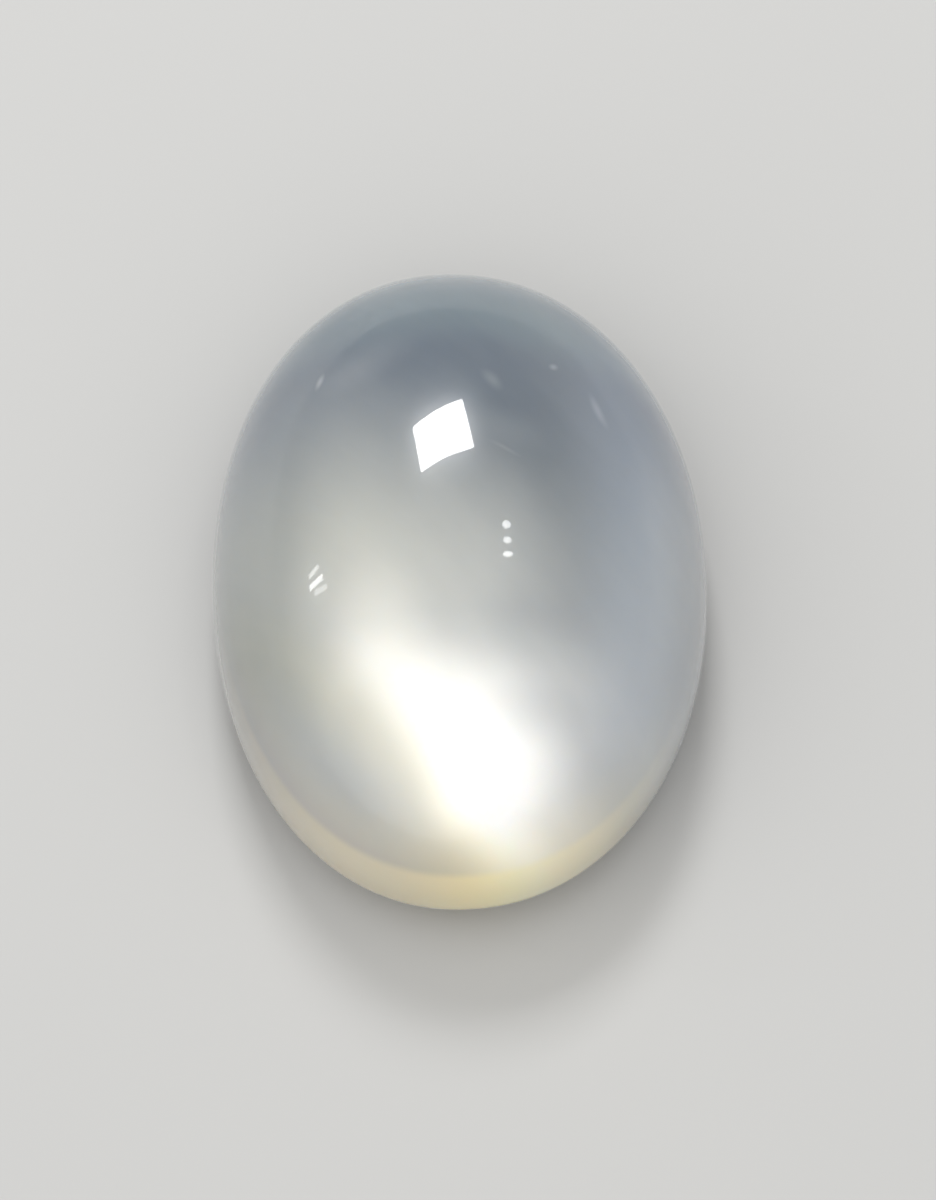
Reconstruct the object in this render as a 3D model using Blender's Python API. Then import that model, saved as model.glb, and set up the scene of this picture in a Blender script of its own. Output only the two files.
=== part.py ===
"""A polished moonstone: an oval cabochon, all one stone.

A high dome rises from a rounded girdle. Below the girdle the back turns in and under by
the same distance all round, to the flat spot, ground level, on which the stone rests.
The long way of the oval lies along Y, +Z is up through the crown, and the origin is
under the middle of the stone's outline, on the surface that it rests on. All sizes are
in metres.
"""

import math

import bmesh
import bpy

# The stone's size
LENGTH = 0.0180  # along Y
WIDTH = 0.0130  # along X
HEIGHT = 0.0075  # from the flat spot to the crown
GIRDLE_HEIGHT = 0.0015  # how high the widest line stands above the flat spot

# The outline, seen from above
OUTLINE_POWER = 2.09  # 2 is an ellipse, and more is a little squarer
TAPER = 0.017  # how much wider the +Y end is than the middle, as a share
LOBE = 0.005  # three faint high places left by hand grinding, as a share
LOBES = 3

# The section, from the crown to the flat spot
DOME_POWER = 2.08  # 2 is an ellipse, and more is a little fuller
FLAT_INSET = 0.0030  # how far in from the outline the flat spot's edge is, all round
FLAT_EDGE_TURN = math.radians(60)  # the back's curve is cut by the flat spot here

# How finely the surface is faceted
SEGMENTS = 96
DOME_RINGS = 24
BACK_RINGS = 7
SAME_POINT = 1e-6  # points nearer than this are one

# Milky and faintly blue, with a glassy polish
BODY_COLOUR = (0.58, 0.62, 0.66, 1.0)
BODY_ROUGHNESS = 0.06
BODY_CLEARNESS = 0.3
FELDSPAR_IOR = 1.525


def clear_scene():
    for obj in list(bpy.data.objects):
        bpy.data.objects.remove(obj, do_unlink=True)


def dome_section():
    """(radius, height) from the crown down to the girdle, on a round stone."""
    rise = HEIGHT - GIRDLE_HEIGHT
    points = []
    for ring in range(DOME_RINGS + 1):
        turn = math.radians(90) * ring / DOME_RINGS
        radius = WIDTH / 2 * math.sin(turn) ** (2 / DOME_POWER)
        height = GIRDLE_HEIGHT + rise * max(math.cos(turn), 0.0) ** (2 / DOME_POWER)
        points.append((radius, height))
    return points


def back_section():
    """(radius, height) below the girdle, in to the flat spot's edge, on a round stone.

    It is the part of an ellipse's quarter that the flat spot leaves. The ellipse is
    sized so that its cut end lies at the flat spot's edge, at height 0.
    """
    reach = FLAT_INSET / (1 - math.cos(FLAT_EDGE_TURN))
    depth = GIRDLE_HEIGHT / math.sin(FLAT_EDGE_TURN)
    points = []
    for ring in range(1, BACK_RINGS + 1):
        turn = FLAT_EDGE_TURN * ring / BACK_RINGS
        radius = WIDTH / 2 - reach * (1 - math.cos(turn))
        points.append((radius, GIRDLE_HEIGHT - depth * math.sin(turn)))
    return points


def turned_stone():
    """The section spun round Z, as a round stone as wide as the oval one."""
    shape = bmesh.new()
    rim = [shape.verts.new((radius, 0, height)) for radius, height in dome_section() + back_section()]
    edges = [shape.edges.new(pair) for pair in zip(rim, rim[1:])]
    bmesh.ops.spin(
        shape,
        geom=rim + edges,
        cent=(0, 0, 0),
        axis=(0, 0, 1),
        angle=math.tau,
        steps=SEGMENTS,
        use_merge=True,
    )
    bmesh.ops.remove_doubles(shape, verts=shape.verts, dist=SAME_POINT)
    return shape


def close_flat_spot(shape):
    open_edges = [edge for edge in shape.edges if edge.is_boundary]
    bmesh.ops.contextual_create(shape, geom=open_edges)


def outline(angle):
    """The oval outline's (x, y) at an angle, as shares of half its width and length."""
    across = abs(math.cos(angle)) ** OUTLINE_POWER
    along = abs(math.sin(angle)) ** OUTLINE_POWER
    reach = (across + along) ** (-1 / OUTLINE_POWER) * (1 + LOBE * math.cos(LOBES * angle))
    return reach * math.cos(angle), reach * math.sin(angle)


def grind_to_oval(shape):
    """Moves each point of the round stone out to the oval one, at its own height.

    On the dome a point keeps its share of the way out to the outline. On the back it
    keeps its distance in from the outline, so the flat spot's edge follows the girdle.
    """
    for vertex in shape.verts:
        radius = math.hypot(vertex.co.x, vertex.co.y)
        across, along = outline(math.atan2(vertex.co.y, vertex.co.x))
        share = radius / (WIDTH / 2)
        if vertex.co.z < GIRDLE_HEIGHT:
            inset = WIDTH / 2 - radius
            share = 1 - inset / math.hypot(WIDTH / 2 * across, LENGTH / 2 * along)
        vertex.co.x = WIDTH / 2 * share * across * (1 + TAPER * share * along)
        vertex.co.y = LENGTH / 2 * share * along


def centre_on_origin(shape):
    """Puts the middle of the outline's box on the Z axis."""
    for axis in (0, 1):
        places = [vertex.co[axis] for vertex in shape.verts]
        middle = (min(places) + max(places)) / 2
        for vertex in shape.verts:
            vertex.co[axis] -= middle


def moonstone_material():
    material = bpy.data.materials.new("milky_moonstone")
    material.use_nodes = True
    shader = material.node_tree.nodes["Principled BSDF"]
    shader.inputs["Base Color"].default_value = BODY_COLOUR
    shader.inputs["Metallic"].default_value = 0.0
    shader.inputs["Roughness"].default_value = BODY_ROUGHNESS
    shader.inputs["IOR"].default_value = FELDSPAR_IOR
    shader.inputs["Transmission Weight"].default_value = BODY_CLEARNESS
    return material


def make_moonstone():
    shape = turned_stone()
    close_flat_spot(shape)
    grind_to_oval(shape)
    centre_on_origin(shape)
    bmesh.ops.recalc_face_normals(shape, faces=shape.faces)
    mesh = bpy.data.meshes.new("moonstone")
    shape.to_mesh(mesh)
    shape.free()
    mesh.shade_smooth()
    mesh.set_sharp_from_angle(angle=math.radians(30))
    mesh.materials.append(moonstone_material())
    stone = bpy.data.objects.new("moonstone", mesh)
    bpy.context.scene.collection.objects.link(stone)
    return stone


clear_scene()
make_moonstone()
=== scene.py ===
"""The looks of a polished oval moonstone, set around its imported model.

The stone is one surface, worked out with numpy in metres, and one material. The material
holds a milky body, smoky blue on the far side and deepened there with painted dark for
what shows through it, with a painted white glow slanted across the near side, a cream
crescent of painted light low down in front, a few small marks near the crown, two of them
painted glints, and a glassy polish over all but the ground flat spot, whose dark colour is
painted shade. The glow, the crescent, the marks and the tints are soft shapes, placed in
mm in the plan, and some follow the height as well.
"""

import math

import bpy
import numpy as np
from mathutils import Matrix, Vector


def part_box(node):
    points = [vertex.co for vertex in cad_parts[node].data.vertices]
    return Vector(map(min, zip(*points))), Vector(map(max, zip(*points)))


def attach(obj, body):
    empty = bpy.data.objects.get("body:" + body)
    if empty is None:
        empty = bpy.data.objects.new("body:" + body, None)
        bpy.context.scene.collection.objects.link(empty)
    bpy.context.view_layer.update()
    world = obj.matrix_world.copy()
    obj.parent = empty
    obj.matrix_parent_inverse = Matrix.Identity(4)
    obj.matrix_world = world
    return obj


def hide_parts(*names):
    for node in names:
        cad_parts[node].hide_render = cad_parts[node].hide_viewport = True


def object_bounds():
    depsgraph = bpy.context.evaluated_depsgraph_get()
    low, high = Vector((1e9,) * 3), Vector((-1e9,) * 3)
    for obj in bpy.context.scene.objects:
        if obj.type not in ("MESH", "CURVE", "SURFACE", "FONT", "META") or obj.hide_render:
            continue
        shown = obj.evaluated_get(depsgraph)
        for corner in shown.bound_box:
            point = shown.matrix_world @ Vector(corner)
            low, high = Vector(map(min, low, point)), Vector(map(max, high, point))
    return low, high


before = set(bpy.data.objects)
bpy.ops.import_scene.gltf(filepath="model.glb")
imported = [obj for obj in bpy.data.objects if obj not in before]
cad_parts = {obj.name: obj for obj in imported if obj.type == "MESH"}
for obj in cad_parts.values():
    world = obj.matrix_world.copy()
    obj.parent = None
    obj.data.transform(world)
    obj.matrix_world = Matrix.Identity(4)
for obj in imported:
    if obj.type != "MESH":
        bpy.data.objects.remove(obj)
cad_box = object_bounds()

# The stone's outline and section, as in its solid
OUTLINE_POWER = 2.09
TAPER = 0.017
LOBE = 0.005
LOBES = 3
DOME_POWER = 2.08
GIRDLE_SHARE = 0.2  # the girdle's height, as a share of the stone's height
FLAT_INSET = 0.0030  # how far in from the outline the flat spot's edge is, all round
FLAT_EDGE_TURN = math.radians(60)

# How finely the polished surface is divided
TURNS = 400
DOME_RINGS = 120
BACK_RINGS = 20
FLAT_RINGS = 6

# The photograph's view
VIEW_AZIMUTH = math.radians(-1.52)
VIEW_ELEVATION = math.radians(63.16)
VIEW_DISTANCE = 0.180
VIEW_HEIGHT = 0.03124  # how much the whole frame takes in at the stone, top to bottom
SENSOR_HEIGHT = 0.036
AIM_RIGHT = 0.000211  # the frame's middle, from the stone's own middle
AIM_UP = -0.001130
NEAREST_SEEN = 0.01
FARTHEST_SEEN = 10

# The studio dome and the floor
DOME_PATCH = Vector((-0.3, -0.6, 0.75))  # the way to the bright patch's middle
DOME_EDGE = (0.1, 0.95)  # the cosines of the angles from it where the patch starts and is full
DOME_RADIANCE = (0.50, 1.45)  # around the patch and in it
DOME_COLOUR = (1.0, 0.995, 0.98, 1)
FLOOR_SIZE = 3.0
FLOOR_GAP = 0.00002  # the air that stays under a hard flat spot on a hard floor
FLOOR_GREY = (0.47, 0.47, 0.465, 1)
FLOOR_ROUGHNESS = 0.7

LAMP_DISTANCE = 0.35  # from the crown, for every lamp

# The softbox: the way to it, the way away from its lit side, its size and its roll in degrees
SOFTBOX_TOWARDS = (-0.080, 0.655, 0.751)
SOFTBOX_FACING = (0.481, 0.404, 0.778)
SOFTBOX_SIZE = (0.121, 0.084)
SOFTBOX_ROLL = 54.7
SOFTBOX_RADIANCE = 22

# The small lamps: where each is, how long and wide, its roll in degrees and its radiance
SPOTS = (
    ((0.292, 0.342, 0.893), (0.020, 0.011), 45, 10),
    ((0.301, 0.283, 0.911), (0.019, 0.010), 50, 10),
    ((0.306, 0.227, 0.924), (0.024, 0.008), 56, 11),
)
SLATS = (
    ((-0.868, 0.270, 0.417), (0.034, 0.007), 112, 6),
    ((-0.870, 0.230, 0.436), (0.046, 0.008), 106, 10),
    ((-0.859, 0.198, 0.473), (0.042, 0.008), 98, 4),
)

MM = 0.001

# The colours of the stone's body, and the tints that are laid over it
# the smoky blue is the body's own, deepened with painted dark for what shows through the clear parts
SMOKY_BLUE_WITH_PAINTED_DARK = (0.02, 0.062, 0.122, 1)
MILK_WHITE = (0.98, 0.98, 0.96, 1)
# painted light: the cream glow of light that comes through the low front rim
PAINTED_LIGHT_CREAM = (0.97, 0.85, 0.53, 1)
WARM_TINT = (1.12, 1.05, 0.80, 1)
COOL_TINT = (0.90, 0.98, 1.12, 1)
TEAL_TINT = (0.95, 1.05, 1.02, 1)
SHADE_TINT = (0.80, 0.81, 0.91, 1)

# How much light goes straight through, as a share, and the heights in mm that the rim spans
CLEARNESS = 0.35  # where the body is least milky
RIM_CLEARNESS = 0.33
RIM_HEIGHTS = (4.2, 1.2)

# What the stone's inside takes out of light that goes straight through
INSIDE_COLOUR = (0.30, 0.20, 0.0, 1)
INSIDE_DENSITY = 20

# The milky layer and the polish over it
STONE_IOR = 1.525
INNER_ROUGHNESS = 0.22
SPECULAR_LEVEL = 0.2
SCATTER_RADIUS = (1.0, 0.85, 0.7)
SCATTER_SCALE = 0.0014
POLISH_ROUGHNESS = 0.015

# The flat spot is ground and not polished, and lets nothing through; its dark colour is painted shade, for
# the dark under the stone seen through the dome
FLAT_EDGE_HEIGHT = 0.04  # in mm
GROUND_FLAT_SHADE_COLOUR = (0.10, 0.12, 0.145, 1)
GROUND_ROUGHNESS = 0.45

# The slow noise that moves the edges of the soft shapes
SWAY = 0.3  # from one end of its swing to the other, in mm
SWAY_SCALE = 0.35
SWAY_DETAIL = 2.0
NOISE_MIDDLE = 0.5

# The way that the glow slants, in degrees, and the fine streaks that lie along it
GLOW_TURN = -50
FIBRE_SCALE = 1.2
FIBRE_LENGTH = 5.0  # how many times longer than wide
FIBRE_DETAIL = 4.0
FIBRE_STRENGTH = 0.035

# The milk rises along the stone, between two places in mm and two shares
MILK_RISE = (17.5, -19.5)
MILK_SHARES = (0.025, 0.455)

# The painted glow's core, which fades between two heights, and the three edges of the painted sheet of
# glow beside it
GLOW_MIDDLE = (0.1, -7.1)
GLOW_AHEAD = 2.9
GLOW_BEHIND = 3.6
GLOW_LEFT = 3.35
GLOW_RIGHT = 3.2
GLOW_STRENGTH = 0.59
GLOW_FADE = (2.4, 4.9)
SHEET_START = ((0, -4.05), -90, 2.1)
SHEET_LEFT = ((-2.5, -4.3), 31, 1.75)
SHEET_RIGHT = ((3.1, 0), 180, 3.2)
SHEET_STRENGTH = 0.23

# The clearer band: the oval ring that it follows, its half width in shares of it, and its ends
BAND_MIDDLE = (-0.6, -1.8)
BAND_ALONG = 3.5
BAND_ACROSS = 4.7
BAND_HALF_WIDTH = 0.73
BAND_ENDS = (BAND_MIDDLE, -19, 4.4)
BAND_STRENGTH = -0.19

# The paler edge at the far end, painted light that comes through the far rim: the heights that it follows,
# and the line where it starts
FAR_HEIGHTS = (7.0, 6.3)
FAR_LINE = ((0.6, 5.1), 85, 2.6)
FAR_STRENGTH = 0.07

# Patches that are milkier, each with its middle, its reach both ways, its turn and its strength
MILKY_PATCHES = {
    "left half": ((-2.45, -2.6), (4.0, 9.0), 9, 0.265),
    "right half": ((3.0, -3.3), (5.5, 11.0), 0, 0.30),
    "painted halo left of the glow": ((-2.2, -4.6), (1.85, 3.6), 0, 0.175),
    "left side": ((-5.9, 0.5), (1.7, 4.5), 0, 0.08),
    "right side": ((5.9, 0.3), (1.8, 4.5), 0, 0.07),
    "painted foot of the glow": ((1.3, -8.5), (1.7, 0.8), 0, 0.18),
    "far left of the crown": ((-2.4, 4.3), (2.0, 0.9), 30, 0.05),
    "right of the crown": ((1.4, 1.9), (1.5, 0.8), -20, 0.04),
}

# Patches that are less milky, in the same order
CLEARER_PATCHES = {
    "right of the glow's foot": ((3.8, -6.9), (1.7, 1.1), 50, -0.07),
    "right of the glow's head": ((1.8, -5.6), (1.6, 1.1), 0, -0.06),
    "far right edge": ((3.9, 6.7), (2.4, 1.6), -40, -0.07),
    "far left edge": ((-3.3, 6.6), (2.2, 1.2), 35, -0.06),
}

# The few small marks near the crown, in the same order; the left and right ones are painted glints
SMALL_MARKS = {
    "left painted glint": ((-3.57, 4.02), (0.36, 0.12), 72, 0.15),
    "right painted glint": ((3.64, 2.86), (0.70, 0.16), -68, 0.09),
    "dot": ((2.52, 4.11), (0.16, 0.16), 0, 0.12),
    "feather": ((0.95, 3.45), (0.55, 0.26), -60, 0.07),
    "faint streak": ((1.2, 1.28), (0.60, 0.10), -30, 0.04),
}

# The cream crescent of painted light: a soft and a crisp rise, each by two heights and two shares, and its
# line
CREAM_SOFT = (5.0, 2.9, 0.0, 0.5)
CREAM_CRISP = (3.15, 2.8, 0.0, 0.45)
CREAM_FRONT = ((0, -6.6), -100, 9.0)

# Where the tints lie: patches as above, and for the shade two heights and a line
# the warm edge is the painted glow's yellow fringe
WARM_EDGE = ((-1.8, -6.7), (12.0, 1.6), -46, 0.46)
WARM_SIDE = ((-6.4, -0.9), (18.0, 6.7), 0, 0.46)
COOL_SIDE = ((4.55, 1.2), (2.35, 13.5), 0, 0.66)
SHADE_HEIGHTS = (4.2, 2.8)
SHADE_LINE = ((-4.83, -4.05), -140, 2.6)


def add_node(tree, kind, **settings):
    node = tree.nodes.new(kind)
    for name, value in settings.items():
        setattr(node, name, value)
    return node


def outline():
    """The oval outline, as (across, along) shares of half the width and half the length.

    At each angle its reach is that of a superellipse, 1 over the OUTLINE_POWER root of
    the cosine's and the sine's powers added up, times one plus a small cosine of LOBES
    times the angle.
    """
    angle = np.arange(TURNS) * math.tau / TURNS
    across = np.cos(angle)
    along = np.sin(angle)
    oval_reach = (np.abs(across) ** OUTLINE_POWER + np.abs(along) ** OUTLINE_POWER) ** (-1 / OUTLINE_POWER)
    reach = oval_reach * (1 + LOBE * np.cos(LOBES * angle))
    return reach * across, reach * along


def section(half_sizes):
    """The rings from the crown to the middle of the flat spot, as (share, height).

    Share is how far out a ring reaches at each angle, as a share of the outline, and
    height a share of the stone's. The dome, over the girdle, is a superellipse's
    quarter: its share is the sine, and its height the cosine, each to the power 2 over
    DOME_POWER. The back is an ellipse's quarter turned in under the girdle, cut off at
    FLAT_EDGE_TURN by the flat spot, and it comes in by the same distance all round. The
    flat spot is a straight line in to the middle.
    """
    turn = np.linspace(0, math.pi / 2, DOME_RINGS + 1)
    dome_share = np.repeat(np.sin(turn)[:, None] ** (2 / DOME_POWER), TURNS, axis=1)
    dome_height = GIRDLE_SHARE + (1 - GIRDLE_SHARE) * np.maximum(np.cos(turn), 0) ** (2 / DOME_POWER)
    turn = np.linspace(0, FLAT_EDGE_TURN, BACK_RINGS + 1)[1:]
    inset = FLAT_INSET * (1 - np.cos(turn)) / (1 - math.cos(FLAT_EDGE_TURN))
    across, along = outline()
    back_share = 1 - inset[:, None] / np.hypot(across * half_sizes[0], along * half_sizes[1])
    back_height = GIRDLE_SHARE * (1 - np.sin(turn) / math.sin(FLAT_EDGE_TURN))
    flat_share = np.linspace(1, 0, FLAT_RINGS + 1)[1:, None] * back_share[-1]
    share = np.concatenate([dome_share, back_share, flat_share])
    height = np.concatenate([dome_height, back_height, np.zeros(FLAT_RINGS)])
    return share, height


def stone_points():
    """Every point of the stone: the section's share times the outline, at its height.

    X is then widened towards +Y by TAPER, and the whole is fitted to the solid's box.
    The first and last rings are single points, the crown and the middle of the flat.
    """
    low, high = (np.array(corner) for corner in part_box("moonstone"))
    share, height = section((high - low) / 2)
    across, along = outline()
    along = share * along
    x = share * across * (1 + TAPER * along)
    z = np.repeat(height[:, None], TURNS, axis=1)
    rings = np.stack([x, along, z], axis=-1)
    points = np.concatenate([rings[0, :1], rings[1:-1].reshape(-1, 3), rings[-1, :1]])
    reach = points.max(axis=0) - points.min(axis=0)
    return low + (points - points.min(axis=0)) / reach * (high - low)


def stone_faces():
    """Quads between neighbouring rings, and a fan of triangles at each pole."""
    rings = DOME_RINGS + BACK_RINGS + FLAT_RINGS - 1
    ring = np.arange(rings - 1)[:, None] * TURNS + 1
    here = np.arange(TURNS)[None, :]
    beside = (here + 1) % TURNS
    quads = np.stack([ring + here, ring + TURNS + here, ring + TURNS + beside, ring + beside], axis=-1)
    crown = [(0, 1 + i, 1 + (i + 1) % TURNS) for i in range(TURNS)]
    last = (rings - 1) * TURNS + 1
    foot = [(last + TURNS, last + (i + 1) % TURNS, last + i) for i in range(TURNS)]
    return quads.reshape(-1, 4).tolist() + crown + foot


def make_polished_stone():
    mesh = bpy.data.meshes.new("polished_moonstone")
    mesh.from_pydata(stone_points().tolist(), [], stone_faces())
    mesh.shade_smooth()
    mesh.validate()
    stone = bpy.data.objects.new("polished_moonstone", mesh)
    bpy.context.scene.collection.objects.link(stone)
    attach(stone, "root")
    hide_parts("moonstone")
    return stone


def direction(azimuth, elevation):
    """A unit vector: azimuth is turned from -Y towards +X, as the view's is."""
    flat = math.cos(elevation)
    return Vector((math.sin(azimuth) * flat, -math.cos(azimuth) * flat, math.sin(elevation)))


def look_at(obj, target):
    obj.rotation_euler = (target - obj.location).to_track_quat("-Z", "Y").to_euler()


def make_camera():
    low, high = (Vector(corner) for corner in cad_box)
    middle = Vector((0, 0, (low.z + high.z) / 2))
    back = direction(VIEW_AZIMUTH, VIEW_ELEVATION)
    right = Vector((0, 0, 1)).cross(back).normalized()
    up = back.cross(right)
    lens = bpy.data.cameras.new("photograph_view")
    lens.sensor_fit = "VERTICAL"
    lens.sensor_height = SENSOR_HEIGHT / MM
    lens.lens = SENSOR_HEIGHT / MM * VIEW_DISTANCE / VIEW_HEIGHT
    lens.clip_start = NEAREST_SEEN
    lens.clip_end = FARTHEST_SEEN
    camera = bpy.data.objects.new("photograph_view", lens)
    camera.location = middle + back * VIEW_DISTANCE
    look_at(camera, middle + right * AIM_RIGHT + up * AIM_UP)
    bpy.context.scene.collection.objects.link(camera)
    bpy.context.scene.camera = camera


def make_lamp(name, shape, towards, size, roll, radiance, facing=None):
    """A flat lamp in a direction from the crown, as bright as radiance says.

    It faces the crown, or lies square to facing, which points away from its lit side.
    """
    lamp = bpy.data.lights.new(name, "AREA")
    lamp.shape = shape
    lamp.size, lamp.size_y = size
    area = size[0] * size[1] * (math.pi / 4 if shape == "ELLIPSE" else 1)
    lamp.energy = radiance * math.pi * area
    obj = bpy.data.objects.new(name, lamp)
    crown = Vector((0, 0, Vector(cad_box[1]).z))
    obj.location = crown + Vector(towards).normalized() * LAMP_DISTANCE
    look_at(obj, obj.location - Vector(facing or towards))
    obj.rotation_euler.rotate_axis("Z", math.radians(roll))
    bpy.context.scene.collection.objects.link(obj)


def make_lamps():
    """A softbox, three small spots in a row, and a blind's three slats of light."""
    softbox = (SOFTBOX_TOWARDS, SOFTBOX_SIZE, SOFTBOX_ROLL, SOFTBOX_RADIANCE, SOFTBOX_FACING)
    make_lamp("softbox", "RECTANGLE", *softbox)
    for i, spot in enumerate(SPOTS):
        make_lamp(f"spot_{i + 1}", "ELLIPSE", *spot)
    for i, slat in enumerate(SLATS):
        make_lamp(f"slat_{i + 1}", "RECTANGLE", *slat)


def make_floor():
    half = FLOOR_SIZE / 2
    corners = [(x, y, -FLOOR_GAP) for x, y in ((-half, -half), (half, -half), (half, half), (-half, half))]
    mesh = bpy.data.meshes.new("floor")
    mesh.from_pydata(corners, [], [(0, 1, 2, 3)])
    floor = bpy.data.objects.new("floor", mesh)
    material = bpy.data.materials.new("pale_floor")
    material.use_nodes = True
    shader = material.node_tree.nodes["Principled BSDF"]
    shader.inputs["Base Color"].default_value = FLOOR_GREY
    shader.inputs["Roughness"].default_value = FLOOR_ROUGHNESS
    mesh.materials.append(material)
    bpy.context.scene.collection.objects.link(floor)


def make_world():
    """A studio dome of soft light: dim all round, and bright in a wide soft patch.

    The brightness is a smooth step of how nearly a direction points at the patch's
    middle, which is in front of the stone, high up and a little to the left.
    """
    world = bpy.data.worlds.new("studio_dome")
    world.use_nodes = True
    tree = world.node_tree
    background = tree.nodes["Background"]
    towards = add_node(tree, "ShaderNodeTexCoord").outputs["Generated"]
    nearness = add_node(tree, "ShaderNodeVectorMath", operation="DOT_PRODUCT")
    tree.links.new(towards, nearness.inputs[0])
    nearness.inputs[1].default_value = DOME_PATCH.normalized()
    brightness = ease(tree, nearness.outputs["Value"], *DOME_EDGE, *DOME_RADIANCE)
    tree.links.new(brightness, background.inputs["Strength"])
    background.inputs["Color"].default_value = DOME_COLOUR
    bpy.context.scene.world = world


def plug(tree, value, socket):
    """Sets a socket to a number or a vector, or links it to another node's output."""
    if isinstance(value, bpy.types.NodeSocket):
        tree.links.new(value, socket)
    else:
        socket.default_value = value


def number(tree, operation, *values):
    node = add_node(tree, "ShaderNodeMath", operation=operation)
    for value, socket in zip(values, node.inputs):
        plug(tree, value, socket)
    return node.outputs["Value"]


def ease(tree, value, start, end, low=0.0, high=1.0):
    """A smooth step from low, where value is at start or before it, to high at end."""
    node = add_node(tree, "ShaderNodeMapRange", interpolation_type="SMOOTHSTEP")
    plug(tree, value, node.inputs["Value"])
    plug(tree, start, node.inputs["From Min"])
    plug(tree, end, node.inputs["From Max"])
    plug(tree, low, node.inputs["To Min"])
    plug(tree, high, node.inputs["To Max"])
    return node.outputs["Result"]


def turned_to(tree, place, middle, turn):
    """The place measured from a patch's middle, along its own turned axes, in mm."""
    mapping = add_node(tree, "ShaderNodeMapping", vector_type="TEXTURE")
    tree.links.new(place, mapping.inputs["Vector"])
    mapping.inputs["Location"].default_value = (*middle, 0)
    mapping.inputs["Rotation"].default_value = (0, 0, math.radians(turn))
    parts = add_node(tree, "ShaderNodeSeparateXYZ")
    tree.links.new(mapping.outputs["Vector"], parts.inputs["Vector"])
    return parts.outputs["X"], parts.outputs["Y"]


def share_of_reach(tree, distance, ahead, behind):
    """A distance as a share of ahead where it is above 0, and of behind where below."""
    forwards = number(tree, "DIVIDE", distance, ahead)
    backwards = number(tree, "DIVIDE", distance, -behind)
    return number(tree, "MAXIMUM", forwards, backwards)


def oval(tree, place, middle, ahead, behind, left, right, turn=0.0):
    """How far out a place is in an oval patch: 0 at its middle and 1 at its edge.

    The patch reaches ahead and behind along its turned X axis, and left and right of
    it, each in mm, so its four quarters can have four different sizes.
    """
    along, across = turned_to(tree, place, middle, turn)
    along = share_of_reach(tree, along, ahead, behind)
    across = share_of_reach(tree, across, left, right)
    along_squared = number(tree, "MULTIPLY", along, along)
    return number(tree, "SQRT", number(tree, "MULTIPLY_ADD", across, across, along_squared))


def haze(tree, place, middle, reach, turn, strength):
    """A soft oval patch: its strength at its middle, and 0 at its edge."""
    out = oval(tree, place, middle, reach[0], reach[0], reach[1], reach[1], turn)
    return ease(tree, out, 1.0, 0.0, 0.0, strength)


def place_in_plan(tree):
    """The place seen from above in mm, swayed by a noise, so that no edge is exact."""
    coordinates = add_node(tree, "ShaderNodeTexCoord").outputs["Object"]
    plan = add_node(tree, "ShaderNodeVectorMath", operation="MULTIPLY")
    tree.links.new(coordinates, plan.inputs[0])
    plan.inputs[1].default_value = (1 / MM, 1 / MM, 0)
    noise = add_node(tree, "ShaderNodeTexNoise")
    tree.links.new(plan.outputs["Vector"], noise.inputs["Vector"])
    noise.inputs["Scale"].default_value = SWAY_SCALE
    noise.inputs["Detail"].default_value = SWAY_DETAIL
    centred = add_node(tree, "ShaderNodeVectorMath", operation="SUBTRACT")
    tree.links.new(noise.outputs["Color"], centred.inputs[0])
    centred.inputs[1].default_value = (NOISE_MIDDLE, NOISE_MIDDLE, NOISE_MIDDLE)
    sway = add_node(tree, "ShaderNodeVectorMath", operation="MULTIPLY_ADD")
    tree.links.new(centred.outputs["Vector"], sway.inputs[0])
    sway.inputs[1].default_value = (SWAY, SWAY, 0)
    tree.links.new(plan.outputs["Vector"], sway.inputs[2])
    return sway.outputs["Vector"]


def height_in_stone(tree):
    """The height above the flat spot, in mm."""
    coordinates = add_node(tree, "ShaderNodeTexCoord").outputs["Object"]
    parts = add_node(tree, "ShaderNodeSeparateXYZ")
    tree.links.new(coordinates, parts.inputs["Vector"])
    return number(tree, "DIVIDE", parts.outputs["Z"], MM)


def across_line(tree, place, through, turn, width):
    """0 to 1 across a line: it rises towards turn, over width, through a place in mm."""
    across, _ = turned_to(tree, place, through, turn)
    return ease(tree, across, -width / 2, width / 2)


def painted_schiller_glow(tree, place, height):
    """The painted glow across the near side, white light painted into the colour: an oval core, and a
    sheet to its right.

    The core fades towards the rim. The sheet starts softly at a level line, and ends at
    a slanted line on its left and an upright one on its right.
    """
    out = oval(tree, place, GLOW_MIDDLE, GLOW_AHEAD, GLOW_BEHIND, GLOW_LEFT, GLOW_RIGHT, GLOW_TURN)
    core = ease(tree, out, 1.0, 0.0, 0.0, GLOW_STRENGTH)
    core = number(tree, "MULTIPLY", core, ease(tree, height, *GLOW_FADE))
    sheet = across_line(tree, place, *SHEET_START)
    sheet = number(tree, "MULTIPLY", sheet, across_line(tree, place, *SHEET_LEFT))
    sheet = number(tree, "MULTIPLY", sheet, across_line(tree, place, *SHEET_RIGHT))
    return number(tree, "MULTIPLY_ADD", sheet, SHEET_STRENGTH, core)


def clear_band(tree, place):
    """A clearer band that curves round the milky middle on its right: 1 along its line."""
    out = oval(tree, place, BAND_MIDDLE, BAND_ALONG, BAND_ALONG, BAND_ACROSS, BAND_ACROSS)
    off = number(tree, "ABSOLUTE", number(tree, "SUBTRACT", out, 1.0))
    band = ease(tree, off, BAND_HALF_WIDTH, 0.0)
    return number(tree, "MULTIPLY", band, across_line(tree, place, *BAND_ENDS))


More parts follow.
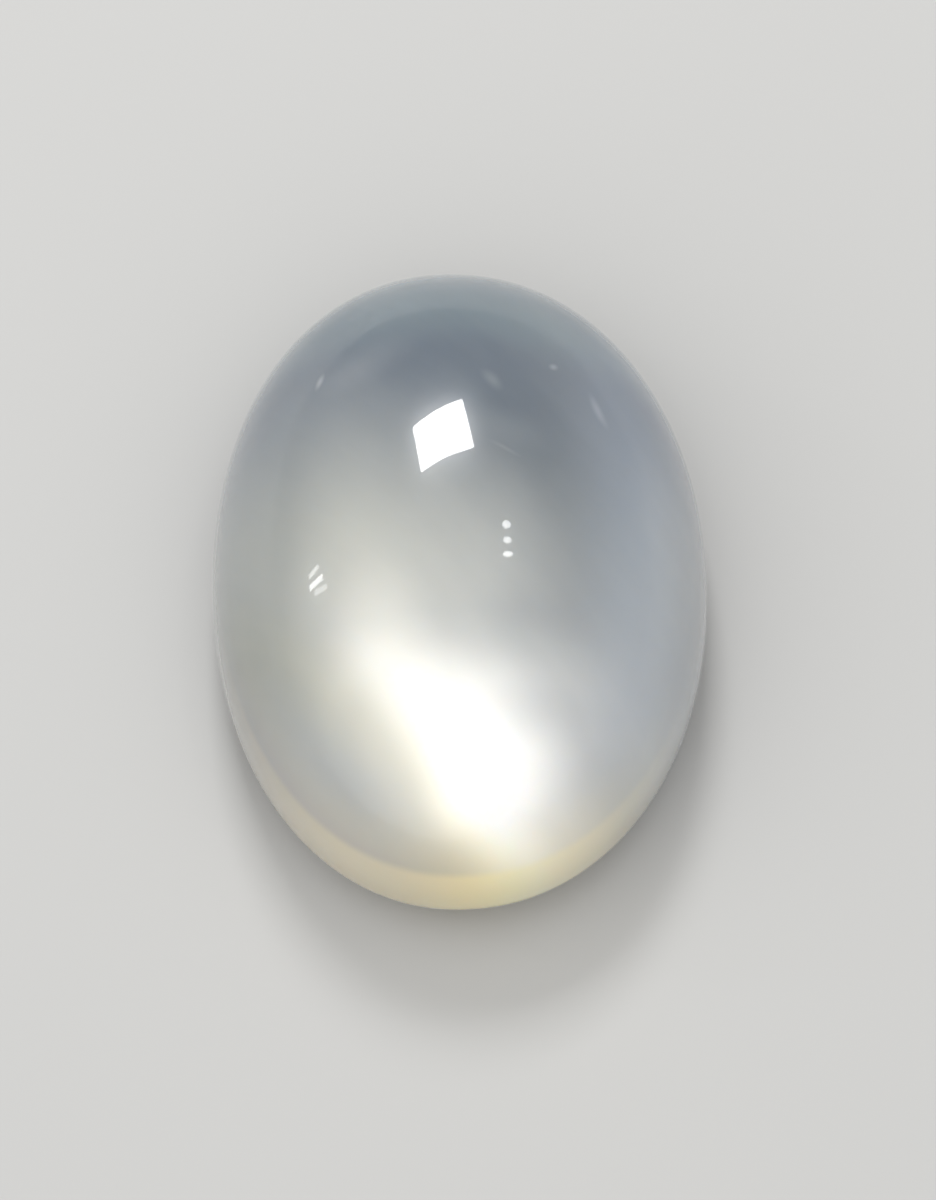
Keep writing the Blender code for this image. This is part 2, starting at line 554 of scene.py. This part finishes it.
def fibres(tree, place):
    """Fine streaks that lie along the glow, about 0 on average: a noise drawn out that way."""
    along, across = turned_to(tree, place, (0, 0), GLOW_TURN)
    drawn = add_node(tree, "ShaderNodeCombineXYZ")
    plug(tree, number(tree, "MULTIPLY", along, FIBRE_SCALE / FIBRE_LENGTH), drawn.inputs["X"])
    plug(tree, number(tree, "MULTIPLY", across, FIBRE_SCALE), drawn.inputs["Y"])
    noise = add_node(tree, "ShaderNodeTexNoise")
    tree.links.new(drawn.outputs["Vector"], noise.inputs["Vector"])
    noise.inputs["Scale"].default_value = 1.0
    noise.inputs["Detail"].default_value = FIBRE_DETAIL
    return number(tree, "SUBTRACT", noise.outputs[0], NOISE_MIDDLE)


def far_rim_painted_light(tree, place, height):
    """A paler edge along the stone's far end, painted light that comes through the rim: it follows the
    dome's height there.
    """
    low = ease(tree, height, *FAR_HEIGHTS)
    return number(tree, "MULTIPLY", low, across_line(tree, place, *FAR_LINE))


def milk_and_painted_light(tree, place, height, far):
    """How milky the stone is at a place, with the painted glow, glints and far rim light in it: least
    where it is clearest, 1 where it is white.
    """
    _, along = turned_to(tree, place, (0, 0), 0)
    total = ease(tree, along, *MILK_RISE, *MILK_SHARES)
    total = number(tree, "MULTIPLY_ADD", clear_band(tree, place), BAND_STRENGTH, total)
    total = number(tree, "MULTIPLY_ADD", fibres(tree, place), FIBRE_STRENGTH, total)
    total = number(tree, "MULTIPLY_ADD", far, FAR_STRENGTH, total)
    total = number(tree, "ADD", total, painted_schiller_glow(tree, place, height))
    for patches in (MILKY_PATCHES, CLEARER_PATCHES, SMALL_MARKS):
        for patch in patches.values():
            total = number(tree, "ADD", total, haze(tree, place, *patch))
    return number(tree, "MINIMUM", total, 1.0)


def blend(tree, factor, first, second, how="MIX"):
    node = add_node(tree, "ShaderNodeMix", data_type="RGBA", blend_type=how, clamp_result=False)
    colour_inputs = [socket for socket in node.inputs if socket.type == "RGBA"]
    plug(tree, factor, node.inputs["Factor"])
    plug(tree, first, colour_inputs[0])
    plug(tree, second, colour_inputs[1])
    return next(socket for socket in node.outputs if socket.type == "RGBA")


def painted_light_crescent(tree, place, height):
    """How much painted light in cream there is: most low down in front, with a crisp upper edge."""
    low = number(tree, "ADD", ease(tree, height, *CREAM_SOFT), ease(tree, height, *CREAM_CRISP))
    return number(tree, "MULTIPLY", low, across_line(tree, place, *CREAM_FRONT))


def body_colour(tree, place, height, milky, far):
    """Smoky blue, deepened with painted dark, to milk white, with the cream crescent of painted
    light, and tints laid over it.

    It is warm on the left and along the painted glow's edge, cool on the right, darkened by
    painted shade low down on the near left, and teal along the far end's painted light.
    """
    colour = blend(tree, milky, SMOKY_BLUE_WITH_PAINTED_DARK, MILK_WHITE)
    colour = blend(tree, painted_light_crescent(tree, place, height), colour, PAINTED_LIGHT_CREAM)
    warm = number(tree, "ADD", haze(tree, place, *WARM_EDGE), haze(tree, place, *WARM_SIDE))
    colour = blend(tree, warm, colour, WARM_TINT, "MULTIPLY")
    colour = blend(tree, haze(tree, place, *COOL_SIDE), colour, COOL_TINT, "MULTIPLY")
    shade = ease(tree, height, *SHADE_HEIGHTS)
    shade = number(tree, "MULTIPLY", shade, across_line(tree, place, *SHADE_LINE))
    colour = blend(tree, shade, colour, SHADE_TINT, "MULTIPLY")
    return blend(tree, far, colour, TEAL_TINT, "MULTIPLY")


def clearness(tree, height, milky):
    """How much light goes straight through: more where less milky, and a set share at the rim."""
    body = number(tree, "MULTIPLY", number(tree, "SUBTRACT", 1.0, milky), CLEARNESS)
    rim = ease(tree, height, *RIM_HEIGHTS)
    return number(tree, "MULTIPLY_ADD", number(tree, "SUBTRACT", RIM_CLEARNESS, body), rim, body)


def fill_inside(tree):
    """Lets the stone's inside take its share out of the light that goes through it."""
    inside = add_node(tree, "ShaderNodeVolumeAbsorption")
    inside.inputs["Color"].default_value = INSIDE_COLOUR
    inside.inputs["Density"].default_value = INSIDE_DENSITY
    tree.links.new(inside.outputs["Volume"], tree.nodes["Material Output"].inputs["Volume"])


def moonstone_material():
    material = bpy.data.materials.new("milky_moonstone")
    material.use_nodes = True
    tree = material.node_tree
    shader = tree.nodes["Principled BSDF"]
    place = place_in_plan(tree)
    height = height_in_stone(tree)
    far = far_rim_painted_light(tree, place, height)
    milky = milk_and_painted_light(tree, place, height, far)
    colour = body_colour(tree, place, height, milky, far)
    clear = clearness(tree, height, milky)
    ground = ease(tree, height, FLAT_EDGE_HEIGHT, FLAT_EDGE_HEIGHT / 2)
    polished = number(tree, "SUBTRACT", 1.0, ground)
    rougher = GROUND_ROUGHNESS - INNER_ROUGHNESS
    # the flat spot's dark colour is painted shade
    plug(tree, blend(tree, ground, colour, GROUND_FLAT_SHADE_COLOUR), shader.inputs["Base Color"])
    plug(tree, number(tree, "MULTIPLY", clear, polished), shader.inputs["Transmission Weight"])
    plug(tree, number(tree, "MULTIPLY_ADD", ground, rougher, INNER_ROUGHNESS), shader.inputs["Roughness"])
    plug(tree, polished, shader.inputs["Subsurface Weight"])
    plug(tree, polished, shader.inputs["Coat Weight"])
    shader.inputs["IOR"].default_value = STONE_IOR
    shader.inputs["Specular IOR Level"].default_value = SPECULAR_LEVEL
    shader.inputs["Subsurface Radius"].default_value = SCATTER_RADIUS
    shader.inputs["Subsurface Scale"].default_value = SCATTER_SCALE
    shader.inputs["Coat IOR"].default_value = STONE_IOR
    shader.inputs["Coat Roughness"].default_value = POLISH_ROUGHNESS
    fill_inside(tree)
    return material


make_camera()
stone = make_polished_stone()
stone.data.materials.append(moonstone_material())
make_floor()
make_world()
make_lamps()
bpy.context.scene.view_settings.view_transform = "Standard"
